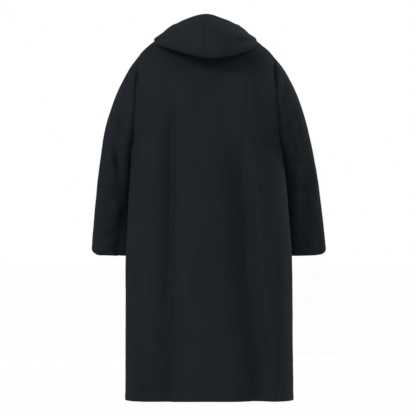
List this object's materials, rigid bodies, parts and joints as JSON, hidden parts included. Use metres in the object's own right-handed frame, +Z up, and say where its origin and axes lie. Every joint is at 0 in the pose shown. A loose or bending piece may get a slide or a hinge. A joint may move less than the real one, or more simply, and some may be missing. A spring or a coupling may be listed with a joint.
{
  "type": "changing robe",
  "caption": "Long hooded changing robe in dark cloth, in its worn hollow form: hood folded down, sleeves hanging, front closed by a zip with a swinging pull tab.",
  "frame": {"origin": "centre of the base of the neck, at the height of the centre back neck seam, where the robe rests on a wearer's shoulders", "axes": "+Z up, +X to the wearer's left, the zipped front faces -Y and the hood hangs towards +Y"},
  "size_m": [0.7252, 0.365, 1.165],
  "materials": {
    "shell_cloth": "matte blue-black woven shell with a faint sheen",
    "zip_tape": "matte woven tape",
    "zip_teeth": "satin moulded plastic",
    "zip_metal": "dark painted metal"
  },
  "bodies": {
    "robe": {"back": "shell_cloth", "front_left": "shell_cloth", "front_right": "shell_cloth", "sleeve_left": "shell_cloth", "sleeve_right": "shell_cloth", "hood_left": "shell_cloth", "hood_right": "shell_cloth", "zip_tape_left": "zip_tape", "zip_tape_right": "zip_tape", "zip_chain_left": "zip_teeth", "zip_chain_right": "zip_teeth", "zip_top_stop_left": "zip_teeth", "zip_top_stop_right": "zip_teeth", "zip_bottom_box": "zip_teeth", "zip_slider": "zip_metal"},
    "zip_pull": {"zip_pull": "zip_metal"}
  },
  "joints": [
    {"name": "zip_pull_swing", "type": "hinge", "parent": "robe", "child": "zip_pull", "pos_m": [-0.00186, -0.09426, -0.04496], "axis": [-0.999, 0.0179, 0.0399], "range_deg": [0, 140]}
  ]
}
